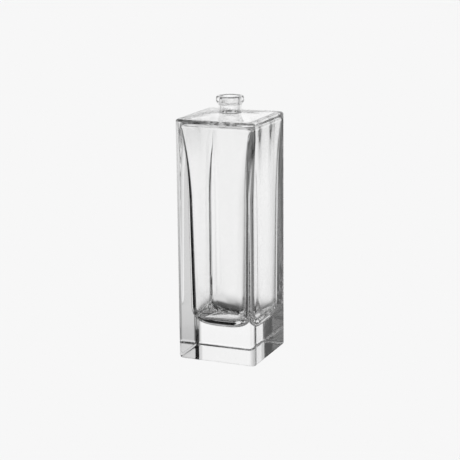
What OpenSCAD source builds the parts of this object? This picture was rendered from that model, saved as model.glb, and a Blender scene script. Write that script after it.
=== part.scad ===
// Square aftershave bottle of clear moulded glass with a crimp neck finish.
// Millimetres. +Z is up, and the origin is the middle of the base on the surface it stands on.

/* [Body] */
// Width of each of the four sides
body_w = 45.5; // [42:0.5:52]
// Height of the square body at its top edges
body_h = 132.5; // [100:0.5:150]
// Radius of the four vertical edges
edge_r = 3; // [2.8:0.1:6]
// Radius of the heel, round the base
heel_r = 1.4; // [0.6:0.1:2]
// Radius of the top edges
shoulder_r = 1.6; // [1:0.1:2.6]
// Rise of the crowned top from its edges to the neck
crown_rise = 1.6; // [1.4:0.1:4]
// Fullness of the crown
crown_power = 1.5; // [1.2:0.1:3]

/* [Neck] */
// Outer diameter of the neck, below the bead
neck_d = 12.4; // [11.6:0.1:12.8]
// Diameter of the bore
bore_d = 9.4; // [8.6:0.1:9.8]
// Height of the rim above the crown
neck_h = 8.9; // [8:0.1:12]
// Outer diameter of the bead that a pump is crimped under
bead_d = 15; // [14.8:0.1:15.2]
// Height of the bead, with its sloping underside
bead_h = 4.6; // [4.2:0.1:5.2]
// Height of that underside
under_h = 1.5; // [1:0.1:2]
// Rounding of the bead's top edge
bead_top_r = 1; // [0.4:0.1:1.1]
// Rounding of the bead's lower edge
bead_low_r = 0.9; // [0.3:0.1:1]
// Rounding of the rim's inner edge
lip_r = 0.7; // [0.3:0.1:0.8]
// Fillet where the neck meets the crown
neck_fillet = 0.4; // [0.2:0.1:1]

/* [Inside] */
// Side wall at mid height
wall = 4.9; // [4:0.1:8]
// Side wall at its thinnest, just under the shoulder
wall_top = 2.9; // [2:0.1:4]
// Glass that the walls gain from mid height down to the floor
wall_draft = 0.5; // [0:0.1:1.5]
// Size of the inside's vertical corners at mid height
corner_r = 6.6; // [3:0.1:8]
// Size of the inside's vertical corners under the shoulder
corner_top_r = 1.5; // [1:0.1:5]
// Size that the corners gain from mid height down to the floor
corner_draft = 1.3; // [0:0.1:1.5]
// Squareness of those corners, 2 for a round corner
corner_squareness = 2.45; // [2:0.05:3]
// Height below the top edges at which the walls start to thin
flare_h = 43; // [25:1:60]
// Sharpness of that thinning
flare_power = 2.4; // [1.5:0.1:4]
// Sharpness with which the corners tighten towards the shoulder
corner_power = 1.1; // [1:0.1:4]
// Thickness of the glass under the middle of the floor
base_t = 17.5; // [12:0.5:24]
// Height of the bowl-shaped floor, up to the straight walls
bowl_h = 13.4; // [6:0.1:16]
// Squareness of the bowl, 2 for a round one
bowl_squareness = 3.1; // [2:0.1:4]
// Thickness of the glass under the top edges
roof_t = 2.5; // [2.4:0.1:4]
// Radius between the inside's walls and roof
roof_r = 2; // [1:0.1:3]
// Rise of the roof from its edges to the throat
roof_rise = 1.8; // [1:0.1:2]
// Rounding between the bore and the roof
throat_r = 1.3; // [0.6:0.1:1.4]

/* [Hidden] */
// Fineness of exact round shapes
$fn = 96;
// Steps round each corner of a section, and along each rounding
corner_steps = 10;
round_steps = 7;
// Steps up the straight, flared, crowned and bowl-shaped stretches
wall_steps = 5;
flare_steps = 16;
crown_steps = 10;
bowl_steps = 14;
// How far a shape runs into its neighbour so that the two join
bite = 0.2;
// How soon the crown and the roof turn from the square into the round neck, 1 for evenly
crown_round = 3;
roof_round = 3;
// How far the middle of the bowl turns into a circle, 0 for not at all
bowl_round = 0.65;
// Fullness of the roof, and the size of its corners at its edges
roof_power = 1.35;
roof_corner_r = 3.6;
// Rounding under the bead, where it meets the neck
under_r = 0.7;

half_w = body_w / 2;
crown_z = body_h + crown_rise;
rim_z = crown_z + neck_h;
bead_z = rim_z - bead_h;
neck_r = neck_d / 2;
bore_r = bore_d / 2;
bead_r = bead_d / 2;
flare_z = body_h - flare_h;
roof_z = body_h - roof_t;
wall_low_z = base_t + bowl_h;
wall_high_z = roof_z - roof_r;
throat_z = roof_z + roof_rise;

function mix(a, b, t) = a + (b - a) * t;

// A power that keeps the sign of its base
function signed_pow(v, p) = sign(v) * pow(abs(v), p);

// A ring of points round a square with rounded corners. A section is
// [height, half width, corner size, squareness of the corners, how far it has turned into a circle]
function ring(s) = [
    for (k = [0:3], i = [0:corner_steps])
        let (inner = s[1] - s[2],
             turn = 90 * k + 90 * i / corner_steps,
             even = 90 * k + 90 * (i + 0.5) / (corner_steps + 1),
             x = inner * sign(cos(90 * k + 45)) + s[2] * signed_pow(cos(turn), 2 / s[3]),
             y = inner * sign(sin(90 * k + 45)) + s[2] * signed_pow(sin(turn), 2 / s[3]))
        [mix(x, s[1] * cos(even), s[4]), mix(y, s[1] * sin(even), s[4]), s[0]]
];

// A closed solid through a stack of rings, from the lowest to the highest
module loft(sections) {
    n = 4 * (corner_steps + 1);
    last = len(sections) - 1;
    polyhedron(
        points = [for (s = sections) each ring(s)],
        faces = concat(
            [[for (i = [0:n - 1]) i]],
            [for (j = [0:last - 1], i = [0:n - 1])
                let (m = (i + 1) % n)
                [j * n + i, (j + 1) * n + i, (j + 1) * n + m, j * n + m]],
            [[for (i = [n - 1:-1:0]) last * n + i]]
        ),
        convexity = 6
    );
}

// Outside of the body: heel, upright sides, shoulder and crown
neck_foot_r = neck_r + neck_fillet + bite;
shoulder_slope = atan(crown_power * crown_rise / (half_w - shoulder_r - neck_foot_r));
heel_sections = [
    for (i = [0:round_steps])
        let (a = 90 * i / round_steps, inset = heel_r * (1 - sin(a)))
        [heel_r * (1 - cos(a)), half_w - inset, edge_r - inset, 2, 0]
];
shoulder_sections = [
    for (i = [0:round_steps])
        let (a = (90 - shoulder_slope) * i / round_steps, inset = shoulder_r * (1 - cos(a)))
        [body_h - shoulder_r * (1 - sin(a)), half_w - inset, edge_r - inset, 2, 0]
];
edge = shoulder_sections[round_steps];
crown_sections = [
    for (i = [1:crown_steps])
        let (t = i / crown_steps, half = mix(edge[1], neck_foot_r, t))
        [mix(edge[0], crown_z, 1 - pow(1 - t, crown_power)),
         half, edge[2] * half / edge[1], 2, 1 - pow(1 - t, crown_round)]
];

// A section of the inside's walls at a height: they flare out above, and gain glass below
function flare(z) = max(0, (z - flare_z) / (wall_high_z - flare_z));
function draft(z) = max(0, (flare_z - z) / (flare_z - wall_low_z));
function wall_section(z) =
    [z,
     half_w - mix(wall, wall_top, pow(flare(z), flare_power)) - wall_draft * draft(z),
     mix(corner_r, corner_top_r, pow(flare(z), corner_power)) + corner_draft * draft(z),
     corner_squareness,
     0];

// The inside: bowl-shaped floor, walls, and the roof, which turns from the square into the throat
low = wall_section(wall_low_z);
bowl_sections = [
    for (i = [1:bowl_steps])
        let (a = 90 * i / bowl_steps, size = pow(sin(a), 2 / bowl_squareness))
        [wall_low_z - bowl_h * pow(cos(a), 2 / bowl_squareness),
         low[1] * size, low[2] * size, low[3], bowl_round * (1 - pow(size, 2))]
];
wall_sections = concat(
    [for (i = [1:wall_steps]) wall_section(mix(wall_low_z, flare_z, i / wall_steps))],
    [for (i = [1:flare_steps]) wall_section(mix(flare_z, wall_high_z, i / flare_steps))]
);
high = wall_section(wall_high_z);
roof_edge_sections = [
    for (i = [1:round_steps])
        let (t = i / round_steps, inset = roof_r * (1 - cos(90 * t)))
        [wall_high_z + roof_r * sin(90 * t), high[1] - inset,
         mix(high[2], roof_corner_r, t), mix(high[3], 2, t), 0]
];
roof_half = high[1] - roof_r;
throat_foot_r = bore_r + throat_r + bite;
roof_sections = [
    for (i = [1:crown_steps])
        let (t = 1 - i / crown_steps, half = mix(throat_foot_r, roof_half, t))
        [roof_z + roof_rise * (1 - pow(t, roof_power)),
         half, roof_corner_r * half / roof_half, 2, 1 - pow(t, roof_round)]
];

module inside() {
    loft(concat(bowl_sections, wall_sections, roof_edge_sections, roof_sections));
}

// The rounding of one corner of an outline, between the straight from a and the straight to b
function rounding(a, corner, b, r) =
    let (back = (a - corner) / norm(a - corner),
         ahead = (b - corner) / norm(b - corner),
         half = acos(back * ahead) / 2,
         middle = corner + (back + ahead) / norm(back + ahead) * r / sin(half),
         first = corner + back * r / tan(half) - middle,
         last = corner + ahead * r / tan(half) - middle,
         start = atan2(first.y, first.x),
         turn = (atan2(last.y, last.x) - start + 540) % 360 - 180)
    [for (i = [0:round_steps])
        let (angle = start + turn * i / round_steps)
        middle + r * [cos(angle), sin(angle)]];

// An outline with some of its corners rounded
function rounded(points, radii) = [
    for (i = [0:len(points) - 1])
        each radii[i] == 0
            ? [points[i]]
            : rounding(points[i - 1], points[i], points[i + 1], radii[i])
];

// The neck and its bead, as a solid of revolution whose foot is sunk in the crown
module neck() {
    foot_r = neck_foot_r - bite / 2;
    rotate_extrude()
        polygon(rounded(
            [[0, crown_z - bite], [foot_r, crown_z - bite], [foot_r, crown_z], [neck_r, crown_z],
             [neck_r, bead_z], [bead_r, bead_z + under_h], [bead_r, rim_z], [0, rim_z]],
            [0, 0, 0, neck_fillet, under_r, bead_low_r, bead_top_r, 0]
        ));
}

// The bore, which opens at the rounded lip above and at the rounded throat below
module bore() {
    foot_r = throat_foot_r - bite / 2;
    lip_foot_r = bore_r + lip_r + bite;
    top_z = rim_z + bite;
    rotate_extrude()
        polygon(rounded(
            [[0, throat_z - bite], [foot_r, throat_z - bite], [foot_r, throat_z], [bore_r, throat_z],
             [bore_r, rim_z], [lip_foot_r, rim_z], [lip_foot_r, top_z], [0, top_z]],
            [0, 0, 0, throat_r, lip_r, 0, 0, 0]
        ));
}

module glass_bottle() {
    color([0.88, 0.90, 0.90, 0.35])
        difference() {
            union() {
                loft(concat(heel_sections, shoulder_sections, crown_sections));
                neck();
            }
            inside();
            bore();
        }
}

glass_bottle();
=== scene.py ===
import math

import bpy
import numpy as np
from mathutils import Matrix, Vector


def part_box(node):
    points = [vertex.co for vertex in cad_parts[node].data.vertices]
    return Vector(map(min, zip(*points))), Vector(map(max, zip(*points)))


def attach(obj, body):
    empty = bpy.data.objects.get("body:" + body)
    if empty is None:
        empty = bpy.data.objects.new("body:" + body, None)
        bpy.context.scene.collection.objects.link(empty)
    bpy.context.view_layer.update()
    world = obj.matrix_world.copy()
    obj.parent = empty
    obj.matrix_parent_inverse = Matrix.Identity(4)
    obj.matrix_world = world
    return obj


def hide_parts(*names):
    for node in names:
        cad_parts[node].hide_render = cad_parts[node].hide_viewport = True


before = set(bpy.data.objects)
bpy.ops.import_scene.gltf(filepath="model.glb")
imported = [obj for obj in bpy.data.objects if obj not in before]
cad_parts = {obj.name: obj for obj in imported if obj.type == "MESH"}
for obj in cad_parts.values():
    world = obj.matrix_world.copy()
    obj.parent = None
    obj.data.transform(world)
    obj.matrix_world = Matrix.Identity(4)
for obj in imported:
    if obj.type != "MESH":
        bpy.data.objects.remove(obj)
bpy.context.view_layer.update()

# A square bottle of clear moulded glass on a pale light table. Lengths in metres, +Z up.

# ---------------------------------------------------------------- sizes
MM = 0.001
low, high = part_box("glass_bottle")
HALF_W = (high.x - low.x) / 2
RIM_Z = high.z

# The outside, as in the CAD model
EDGE_R = 3.0 * MM
HEEL_R = 1.4 * MM
SHOULDER_R = 1.6 * MM
CROWN_RISE = 1.6 * MM
CROWN_POWER = 1.5
CROWN_ROUND = 3.0
NECK_H = 8.9 * MM
NECK_R = 6.2 * MM
NECK_FILLET = 0.4 * MM
BEAD_R = 7.5 * MM
BEAD_H = 4.6 * MM
BEAD_UNDER_H = 1.5 * MM
BEAD_UNDER_R = 0.7 * MM
BEAD_TOP_R = 1.0 * MM
BEAD_LOW_R = 0.9 * MM
BORE_R = 4.7 * MM
LIP_R = 0.7 * MM
CROWN_Z = RIM_Z - NECK_H
BODY_H = CROWN_Z - CROWN_RISE
BEAD_Z = RIM_Z - BEAD_H

# The inside
WALL = 4.9 * MM
WALL_TOP = 2.9 * MM
WALL_DRAFT = 0.5 * MM
CORNER_R = 6.6 * MM
CORNER_TOP_R = 1.5 * MM
CORNER_DRAFT = 1.3 * MM
CORNER_POWER = 1.1
CORNER_SQUARENESS = 2.45
FLARE_H = 43 * MM
FLARE_POWER = 2.4
BASE_T = 17.5 * MM
BOWL_H = 13.4 * MM
BOWL_SQUARENESS = 3.1
BOWL_ROUND = 0.65
ROOF_T = 2.5 * MM
ROOF_R = 2.0 * MM
ROOF_CORNER_R = 3.6 * MM
ROOF_RISE = 1.8 * MM
ROOF_POWER = 1.35
ROOF_ROUND = 3.0
THROAT_R = 1.3 * MM
# How uneven the inside is near the shoulder: height, waves in a full turn and phase of each
# ripple, and how far the ripples reach
RIPPLES = (
    (0.18 * MM, 8, 1.0),
    (0.06 * MM, 19, 0.4),
    (0.04 * MM, 31, 2.0),
)
RIPPLE_REACH = 14 * MM

# How strongly the glass bends light, as soda-lime glass does
GLASS_IOR = 1.52
# Its grain: about how many features to a metre along X, Y and Z, and their depth
CORD_STRETCH = (160, 160, 12)
CORD_DEPTH = 0.02 * MM
SKIN_STRETCH = (260, 260, 260)
SKIN_DEPTH = 0.003 * MM
# Scuffs on the foot, which are half gone SCUFF_H above the table and gone at twice that
SCUFF_STRETCH = (900, 900, 900)
SCUFF_H = 0.25 * MM
SCUFF_ROUGHNESS = 0.12

# ---------------------------------------------------------------- outlines
# Every section is a ring of points: the steps round each of its corners and along each side
CORNER_STEPS = 32
SIDE_STEPS = 20
RING_POINTS = 4 * (CORNER_STEPS + SIDE_STEPS)
# How many rings each stretch of the surface has. The base has an inner and an outer stretch,
# and the roof has as many as the crown.
BASE_STEPS = (3, 6)
HEEL_STEPS = 10
WALL_STEPS = 24
SHOULDER_STEPS = 13
CROWN_STEPS = 48
ROOF_EDGE_STEPS = 16
FLARE_STEPS = 60
# The bowl's rings are spaced by angle, in two stretches that meet BOWL_TIP degrees from its axis
BOWL_STEPS, BOWL_TIP_STEPS, BOWL_TIP = 44, 14, 20
# A narrow band next to the heel and the shoulder keeps their rounding off the flat of a side
BAND = 0.3 * MM
# Points of an outline that are no farther apart than this are one point
SAME_POINT = 0.001 * MM
# A side has a narrow strip at each end, which keeps the rounding of the corner off the flat
STRIP = 0.012
SIDE_FRACTIONS = [0, STRIP, *np.linspace(0, 1, SIDE_STEPS - 1)[1:-1], 1 - STRIP]
QUARTER_TURNS = [np.array([(c, s), (-s, c)]) for c, s in ((1, 0), (0, 1), (-1, 0), (0, -1))]


def mix(a, b, t):
    return a + (b - a) * t


def square_ring(half, corner, squareness=2):
    """A square with rounded corners, as points that run round it from the +X side.

    The corners are superellipses: with a squareness of 2 they are arcs, and above it they
    run into the sides without a jump in curvature.
    """
    inner = half - corner
    turns = math.pi / 2 * np.arange(CORNER_STEPS) / CORNER_STEPS
    x = corner * np.cos(turns) ** (2 / squareness)
    y = corner * np.sin(turns) ** (2 / squareness)
    rounding = np.stack([inner + x, inner + y], 1)
    straight = np.array([(mix(inner, -inner, t), half) for t in SIDE_FRACTIONS])
    quarter = np.concatenate([rounding, straight])
    return np.concatenate([quarter @ turned for turned in QUARTER_TURNS])


def round_ring(radius):
    """A circle with as many points, so that a square ring can turn into it."""
    turns = 2 * math.pi * (np.arange(RING_POINTS) - CORNER_STEPS / 2) / RING_POINTS + math.pi / 4
    return radius * np.stack([np.cos(turns), np.sin(turns)], 1)


def run(start, end, steps):
    """Evenly spaced values after the first."""
    return np.linspace(start, end, steps + 1)[1:]


def rounded(corners, steps=10, longest=1 * MM):
    """An outline through (x, z, radius) corners: each is rounded, and long straights are cut up."""
    outline = [np.array(corners[0][:2])]
    for before, (x, z, radius), after in zip(corners, corners[1:], corners[2:]):
        tip = np.array([x, z])
        back, ahead = np.array(before[:2]) - tip, np.array(after[:2]) - tip
        back, ahead = back / np.linalg.norm(back), ahead / np.linalg.norm(ahead)
        half = math.acos(back @ ahead) / 2
        centre = tip + (back + ahead) / np.linalg.norm(back + ahead) * radius / math.sin(half)
        first, last = (tip + side * radius / math.tan(half) - centre for side in (back, ahead))
        start = math.atan2(first[1], first[0])
        turn = (math.atan2(last[1], last[0]) - start + math.pi) % (2 * math.pi) - math.pi
        for t in np.linspace(0, 1, steps + 1):
            a = start + turn * t
            outline.append(centre + radius * np.array([math.cos(a), math.sin(a)]))
    outline.append(np.array(corners[-1][:2]))
    cut = []
    for start, end in zip(outline, outline[1:]):
        pieces = int(np.linalg.norm(end - start) / longest) + 1
        cut += [mix(start, end, t) for t in run(0, 1, pieces)]
    return cut


# ---------------------------------------------------------------- the glass
def base_rings():
    foot = square_ring(HALF_W - HEEL_R, EDGE_R - HEEL_R)
    middle = round_ring(HALF_W / 2)
    inner_steps, outer_steps = BASE_STEPS
    rings = [(middle * t, 0.0) for t in run(0, 1, inner_steps)]
    rings += [(mix(middle, foot, t), 0.0) for t in run(0, 1, outer_steps)]
    for a in np.radians(run(0, 90, HEEL_STEPS)):
        inset = HEEL_R * (1 - math.sin(a))
        rings.append((square_ring(HALF_W - inset, EDGE_R - inset), HEEL_R * (1 - math.cos(a))))
    return rings


def side_rings():
    top = BODY_H - SHOULDER_R
    foot = HEEL_R + BAND
    heights = [foot, *run(foot, top - BAND, WALL_STEPS), top]
    return [(square_ring(HALF_W, EDGE_R), z) for z in heights]


def crown_rings():
    """The shoulder's edge, then the crown, which turns from the square into the neck."""
    neck_foot = NECK_R + NECK_FILLET
    slope = math.atan(CROWN_POWER * CROWN_RISE / (HALF_W - SHOULDER_R - neck_foot))
    rings = []
    for a in run(0, math.pi / 2 - slope, SHOULDER_STEPS):
        inset = SHOULDER_R * (1 - math.cos(a))
        z = BODY_H - SHOULDER_R * (1 - math.sin(a))
        rings.append((square_ring(HALF_W - inset, EDGE_R - inset), z))
    edge, edge_z = rings[-1]
    half = HALF_W - inset
    for t in run(0, 1, CROWN_STEPS):
        size = mix(half, neck_foot, t)
        outline = mix(edge * size / half, round_ring(size), 1 - (1 - t) ** CROWN_ROUND)
        rings.append((outline, mix(edge_z, CROWN_Z, 1 - (1 - t) ** CROWN_POWER)))
    return rings


def neck_rings():
    """Up the outside of the neck, round the bead and the rim, and down the bore."""
    throat_z = BODY_H - ROOF_T + ROOF_RISE
    profile = rounded([
        (NECK_R + NECK_FILLET, CROWN_Z, 0),
        (NECK_R, CROWN_Z, NECK_FILLET),
        (NECK_R, BEAD_Z, BEAD_UNDER_R),
        (BEAD_R, BEAD_Z + BEAD_UNDER_H, BEAD_LOW_R),
        (BEAD_R, RIM_Z, BEAD_TOP_R),
        (BORE_R, RIM_Z, LIP_R),
        (BORE_R, throat_z, THROAT_R),
        (BORE_R + THROAT_R, throat_z, 0),
    ])
    kept = [profile[1]]
    kept += [q for p, q in zip(profile[1:], profile[2:]) if np.linalg.norm(q - p) > SAME_POINT]
    return [(round_ring(r), z) for r, z in kept]


def inside_rings():
    """From the throat under the roof, down the walls, to the middle of the floor."""
    flare_z = BODY_H - FLARE_H
    roof_z = BODY_H - ROOF_T
    high_z = roof_z - ROOF_R
    low_z = BASE_T + BOWL_H

    def wall_ring(z):
        flare = max(0, (z - flare_z) / (high_z - flare_z))
        draft = max(0, (flare_z - z) / (flare_z - low_z))
        wall = mix(WALL, WALL_TOP, flare ** FLARE_POWER) + WALL_DRAFT * draft
        corner = mix(CORNER_R, CORNER_TOP_R, flare ** CORNER_POWER) + CORNER_DRAFT * draft
        return HALF_W - wall, corner

    def uneven(outline, z):
        """Ripples of the surface that no mould touches: they die away from the shoulder."""
        turn = np.arctan2(outline[:, 1], outline[:, 0])
        reach = np.exp(-abs(high_z - z) / RIPPLE_REACH)
        ripple = sum(size * np.sin(count * turn + phase) for size, count, phase in RIPPLES)
        return outline * (1 + ripple * reach / HALF_W)[:, None], z

    rings = []
    half, corner = wall_ring(high_z)
    roof_half = half - ROOF_R
    roof = square_ring(roof_half, ROOF_CORNER_R)
    for t in run(0, 1, CROWN_STEPS):
        size = mix(BORE_R + THROAT_R, roof_half, t)
        outline = mix(roof * size / roof_half, round_ring(size), 1 - t ** ROOF_ROUND)
        rings.append(uneven(outline, roof_z + ROOF_RISE * (1 - t ** ROOF_POWER)))
    for t in run(1, 0, ROOF_EDGE_STEPS):
        a = t * math.pi / 2
        inset = ROOF_R * (1 - math.cos(a))
        shape = mix(corner, ROOF_CORNER_R, t), mix(CORNER_SQUARENESS, 2, t)
        rings.append(uneven(square_ring(half - inset, *shape), high_z + ROOF_R * math.sin(a)))
    heights = [*run(high_z, flare_z, FLARE_STEPS), *run(flare_z, low_z, WALL_STEPS)]
    rings += [uneven(square_ring(*wall_ring(z), CORNER_SQUARENESS), z) for z in heights]

    half, corner = wall_ring(low_z)
    outline = square_ring(half, corner, CORNER_SQUARENESS)
    for a in np.radians([*run(90, BOWL_TIP, BOWL_STEPS), *run(BOWL_TIP, 0, BOWL_TIP_STEPS)[:-1]]):
        size = math.sin(a) ** (2 / BOWL_SQUARENESS)
        depth = BOWL_H * math.cos(a) ** (2 / BOWL_SQUARENESS)
        middle = round_ring(half * size)
        rings.append((mix(outline * size, middle, BOWL_ROUND * (1 - size ** 2)), low_z - depth))
    return rings


def lofted(name, rings, first, last):
    """A closed mesh through a stack of rings, from one pole to the other."""
    points = [first] + [(x, y, z) for ring, z in rings for x, y in ring] + [last]
    count = RING_POINTS
    turn = [(i, (i + 1) % count) for i in range(count)]
    faces = [(0, 1 + b, 1 + a) for a, b in turn]
    for j in range(len(rings) - 1):
        near = 1 + j * count
        far = near + count
        faces += [(near + a, near + b, far + b, far + a) for a, b in turn]
    end = 1 + (len(rings) - 1) * count
    faces += [(len(points) - 1, end + a, end + b) for a, b in turn]
    mesh = bpy.data.meshes.new(name)
    mesh.from_pydata(points, [], faces)
    mesh.polygons.foreach_set("use_smooth", [True] * len(faces))
    mesh.update()
    piece = bpy.data.objects.new(name, mesh)
    bpy.context.scene.collection.objects.link(piece)
    return piece


class Maths:
    """Short names for the maths nodes of one node tree."""

    def __init__(self, tree):
        self.tree = tree

    def node(self, operation, *values):
        step = self.tree.nodes.new("ShaderNodeMath")
        step.operation = operation
        for socket, value in zip(step.inputs, values):
            if isinstance(value, (int, float)):
                socket.default_value = value
            else:
                self.tree.links.new(value, socket)
        return step.outputs[0]

    def soft_step(self, distance, half, softness):
        """1 within half of the middle and 0 outside it, with a soft edge."""
        ramp = self.tree.nodes.new("ShaderNodeMapRange")
        ramp.interpolation_type = "SMOOTHSTEP"
        self.tree.links.new(distance, ramp.inputs["Value"])
        ramp.inputs["From Min"].default_value = half - softness
        ramp.inputs["From Max"].default_value = half + softness
        ramp.inputs["To Min"].default_value = 1
        ramp.inputs["To Max"].default_value = 0
        return ramp.outputs[0]


def glass_material():
    """Clear glass with long soft cords in it, a faintly dimpled skin and a scuffed foot."""
    material = bpy.data.materials.new("clear_glass")
    material.use_nodes = True
    tree = material.node_tree
    shader = tree.nodes["Principled BSDF"]
    shader.inputs["Base Color"].default_value = (1, 1, 1, 1)
    shader.inputs["IOR"].default_value = GLASS_IOR
    shader.inputs["Transmission Weight"].default_value = 1
    place = tree.nodes.new("ShaderNodeTexCoord").outputs["Object"]

    def noise(stretch, detail):
        shape = tree.nodes.new("ShaderNodeMapping")
        shape.inputs["Scale"].default_value = stretch
        tree.links.new(place, shape.inputs["Vector"])
        pattern = tree.nodes.new("ShaderNodeTexNoise")
        pattern.inputs["Scale"].default_value = 1
        pattern.inputs["Detail"].default_value = detail
        tree.links.new(shape.outputs[0], pattern.inputs["Vector"])
        return pattern.outputs["Fac"]

    def bump(height, depth, under=None):
        relief = tree.nodes.new("ShaderNodeBump")
        relief.inputs["Strength"].default_value = 1
        relief.inputs["Distance"].default_value = depth
        tree.links.new(height, relief.inputs["Height"])
        if under is not None:
            tree.links.new(under, relief.inputs["Normal"])
        return relief.outputs[0]

    cords = bump(noise(CORD_STRETCH, detail=0), CORD_DEPTH)
    skin = bump(noise(SKIN_STRETCH, detail=1), SKIN_DEPTH, cords)
    tree.links.new(skin, shader.inputs["Normal"])

    maths = Maths(tree)
    split = tree.nodes.new("ShaderNodeSeparateXYZ")
    tree.links.new(place, split.inputs[0])
    foot = maths.soft_step(split.outputs["Z"], SCUFF_H, SCUFF_H)
    worn = maths.node("MULTIPLY", foot, noise(SCUFF_STRETCH, detail=2))
    roughness = maths.node("MULTIPLY", worn, SCUFF_ROUGHNESS)
    tree.links.new(roughness, shader.inputs["Roughness"])
    return material


bottle = lofted(
    "moulded_bottle",
    base_rings() + side_rings() + crown_rings() + neck_rings() + inside_rings(),
    (0, 0, 0),
    (0, 0, BASE_T),
)
bottle.data.materials.append(glass_material())
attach(bottle, "root")
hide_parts("glass_bottle")

# ---------------------------------------------------------------- stage
# The pale grey of the floor and the backdrop, and how far the floor reaches, in metres
PALE = 0.93
FLOOR_REACH = 20
# The camera: its turns in degrees, its distance from the middle of the body, how far that
# middle lies off its axis, and its lens and sensor in millimetres
YAW, PITCH, ROLL = 23.22, 13.46, -0.56
DISTANCE = 783 * MM
OFFSET_RIGHT, OFFSET_UP = 0.74 * MM, -2.72 * MM
LENS, SENSOR = 112.04, 36
# Enough bounces for light to leave the glass after many turns inside it
BOUNCES, GLOSSY_BOUNCES = 32, 24
# How bright the room is where no patch lies. Then the studio by direction: azimuth from +Y
# towards +X, elevation, half width and half height of the patch and the softness of its edge,
# all in degrees, and how bright it is. A later patch lies over the ones before it.
ROOM = 0.18
STUDIO = {
    "back_panel": (-22, 11, 36, 39, 14, 1.03),
    "left_wash": (-85, 42, 52, 44, 18, 0.6),
    "table": (0, -75, 180, 28, 24, 0.0),
    "table_middle": (90, -78, 116, 16, 4, 0.85),
    "right_flag": (108, -18, 38, 42, 4, 0.0),
    "right_top_flag": (114, 37, 60, 51, 2, 0.0),
    "left_rear_flag": (-169, -26, 31, 31, 2, 0.0),
    "left_low_flag": (-96, -18, 29, 13, 12, 0.0),
    "right_slit": (56, -14, 4, 6, 1.5, 0.0),
    "right_band": (91, -7, 13, 7, 3, 0.9),
    "left_top_flag": (-158, 39, 29, 51, 1.5, 0.0),
    "panel_foot": (15, -23, 18, 7, 13, 0.1),
    "panel_veil": (11, 6, 27, 19, 8, 0.7),
    "right_return": (24, -13, 5, 6, 4, 0.7),
    "rear_panel": (135, -15, 20, 16, 6, 0.85),
    "table_glow": (-45, -26, 18, 8, 5, 0.8),
    "left_panel": (-90, -3, 20, 8, 5, 0.85),
    "front_panel": (0, -3, 14, 6, 5, 0.9),
}


def light_table():
    """An endless pale floor that the glass doesn't see, so it leaves no horizon in it."""
    mesh = bpy.data.meshes.new("light_table")
    side = FLOOR_REACH
    corners = [(-side, -side, 0), (side, -side, 0), (side, side, 0), (-side, side, 0)]
    mesh.from_pydata(corners, [], [(0, 1, 2, 3)])
    floor = bpy.data.objects.new("light_table", mesh)
    bpy.context.scene.collection.objects.link(floor)
    material = bpy.data.materials.new("pale_light_table")
    material.use_nodes = True
    tree = material.node_tree
    tree.nodes.clear()
    glow = tree.nodes.new("ShaderNodeEmission")
    glow.inputs["Color"].default_value = (PALE, PALE, PALE, 1)
    out = tree.nodes.new("ShaderNodeOutputMaterial")
    tree.links.new(glow.outputs[0], out.inputs[0])
    mesh.materials.append(material)
    floor.visible_transmission = False
    floor.visible_glossy = False


def studio_world():
    world = bpy.data.worlds.new("studio")
    bpy.context.scene.world = world
    world.use_nodes = True
    tree = world.node_tree
    tree.nodes.clear()
    maths = Maths(tree)
    split = tree.nodes.new("ShaderNodeSeparateXYZ")
    tree.links.new(tree.nodes.new("ShaderNodeTexCoord").outputs["Generated"], split.inputs[0])
    x, y, z = split.outputs
    azimuth = maths.node("DEGREES", maths.node("ARCTAN2", x, y))
    elevation = maths.node("DEGREES", maths.node("ARCSINE", z))
    light = ROOM
    for middle, height, half_width, half_height, softness, bright in STUDIO.values():
        turn = maths.node("WRAP", maths.node("SUBTRACT", azimuth, middle), 180, -180)
        across = maths.soft_step(maths.node("ABSOLUTE", turn), half_width, softness)
        rise = maths.node("ABSOLUTE", maths.node("SUBTRACT", elevation, height))
        patch = maths.node("MULTIPLY", across, maths.soft_step(rise, half_height, softness))
        change = maths.node("SUBTRACT", bright, light)
        light = maths.node("ADD", light, maths.node("MULTIPLY", patch, change))
    seen = tree.nodes.new("ShaderNodeLightPath").outputs["Is Camera Ray"]
    change = maths.node("SUBTRACT", PALE, light)
    light = maths.node("ADD", light, maths.node("MULTIPLY", seen, change))
    backdrop = tree.nodes.new("ShaderNodeBackground")
    tree.links.new(light, backdrop.inputs["Color"])
    out = tree.nodes.new("ShaderNodeOutputWorld")
    tree.links.new(backdrop.outputs[0], out.inputs[0])


def camera():
    """At the photograph's viewing angle."""
    yaw, pitch, roll = (math.radians(a) for a in (YAW, PITCH, ROLL))
    level = Vector((math.cos(yaw), math.sin(yaw), 0))
    ahead = Vector((-math.sin(yaw), math.cos(yaw), 0))
    forward = ahead * math.cos(pitch) - Vector((0, 0, math.sin(pitch)))
    rise = level.cross(forward)
    right = level * math.cos(roll) + rise * math.sin(roll)
    up = rise * math.cos(roll) - level * math.sin(roll)
    middle = Vector((0, 0, BODY_H / 2))
    place = middle - right * OFFSET_RIGHT - up * OFFSET_UP - forward * DISTANCE
    data = bpy.data.cameras.new("camera")
    data.sensor_width = SENSOR
    data.lens = LENS
    eye = bpy.data.objects.new("camera", data)
    turn = Matrix((right, up, -forward)).transposed().to_4x4()
    eye.matrix_world = Matrix.Translation(place) @ turn
    bpy.context.scene.collection.objects.link(eye)
    bpy.context.scene.camera = eye


light_table()
studio_world()
camera()

settings = bpy.context.scene
settings.view_settings.view_transform = "Standard"
# The colour alone guides the denoiser, because the first surface says little about clear glass
settings.cycles.denoising_input_passes = "RGB"
settings.cycles.max_bounces = BOUNCES
settings.cycles.glossy_bounces = GLOSSY_BOUNCES
settings.cycles.transmission_bounces = BOUNCES

bpy.context.view_layer.update()
